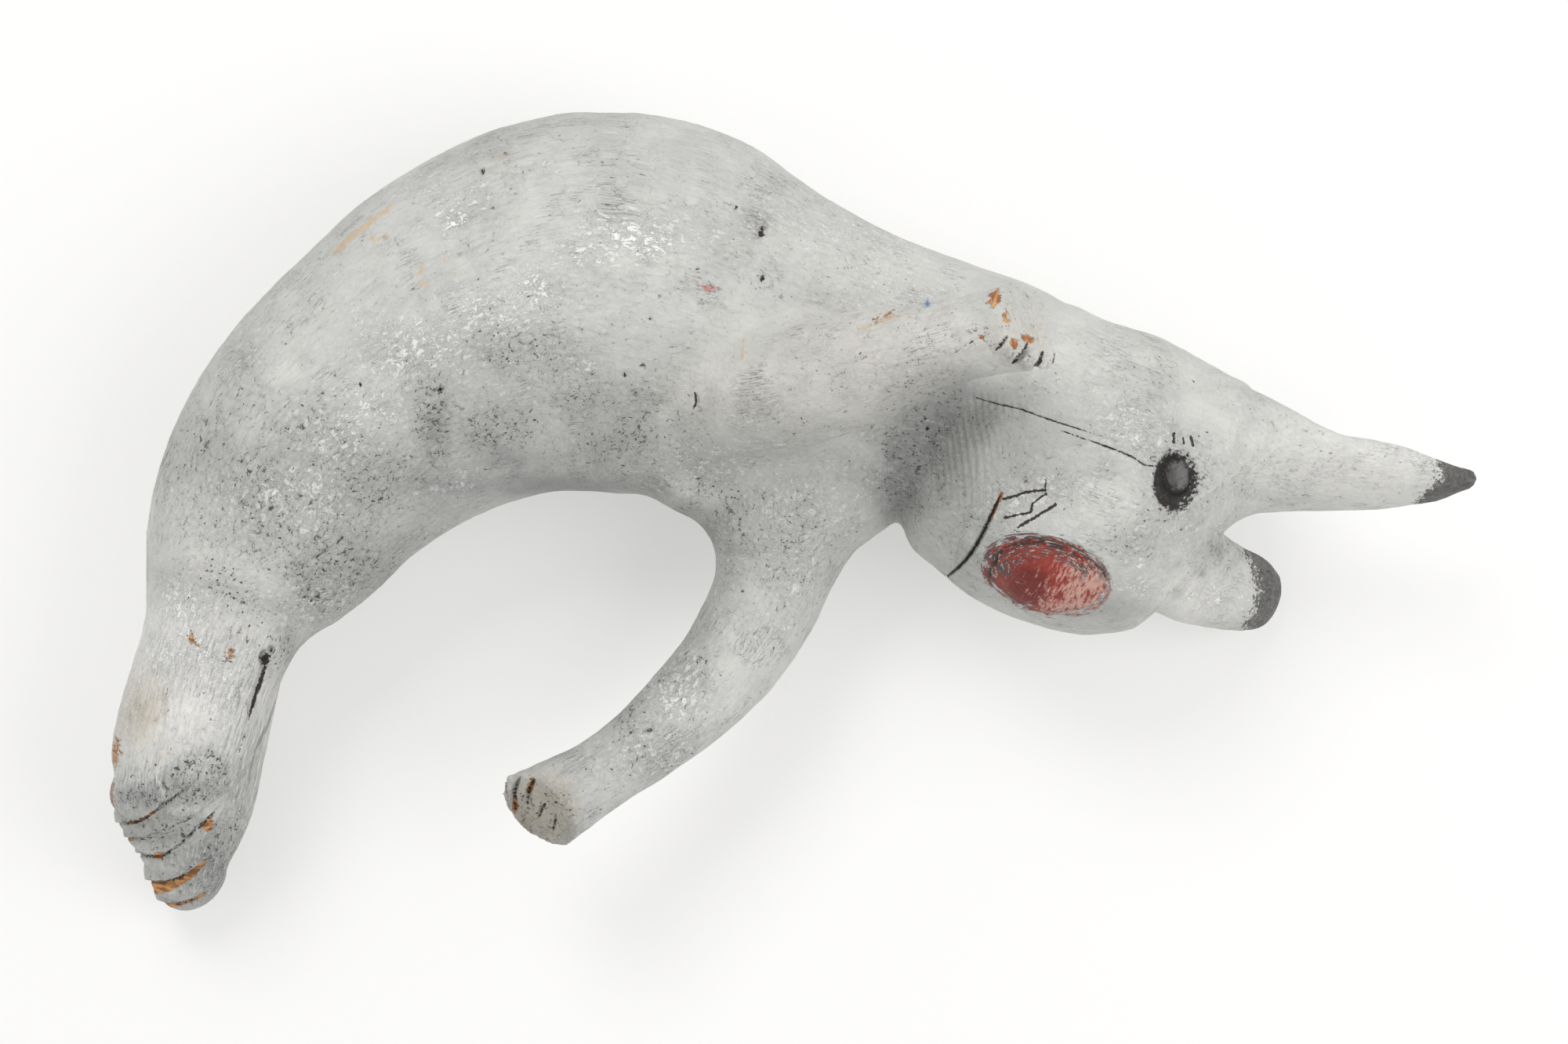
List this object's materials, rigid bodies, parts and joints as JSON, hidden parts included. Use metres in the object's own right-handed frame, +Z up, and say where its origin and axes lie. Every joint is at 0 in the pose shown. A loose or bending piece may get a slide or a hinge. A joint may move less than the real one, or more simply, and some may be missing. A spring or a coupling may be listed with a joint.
{
  "type": "rabbit carving",
  "caption": "Folk carving of a stretched-out rabbit lying on its side, in one with a long arched body, reaching forelegs, carved toes, a red nose and dark ear tips",
  "frame": {"origin": "on the ground, under the middle of the rabbit's outline", "axes": "+Z up out of the side it lies on, +X from the hind feet towards the ears, +Y towards the arched back"},
  "size_m": [0.456, 0.2726, 0.1643],
  "materials": {
    "painted_wood": "weathered pale grey paint over carved softwood, worn to bare wood on the toes and paws"
  },
  "bodies": {
    "root": {"rabbit": "painted_wood"}
  },
  "joints": []
}
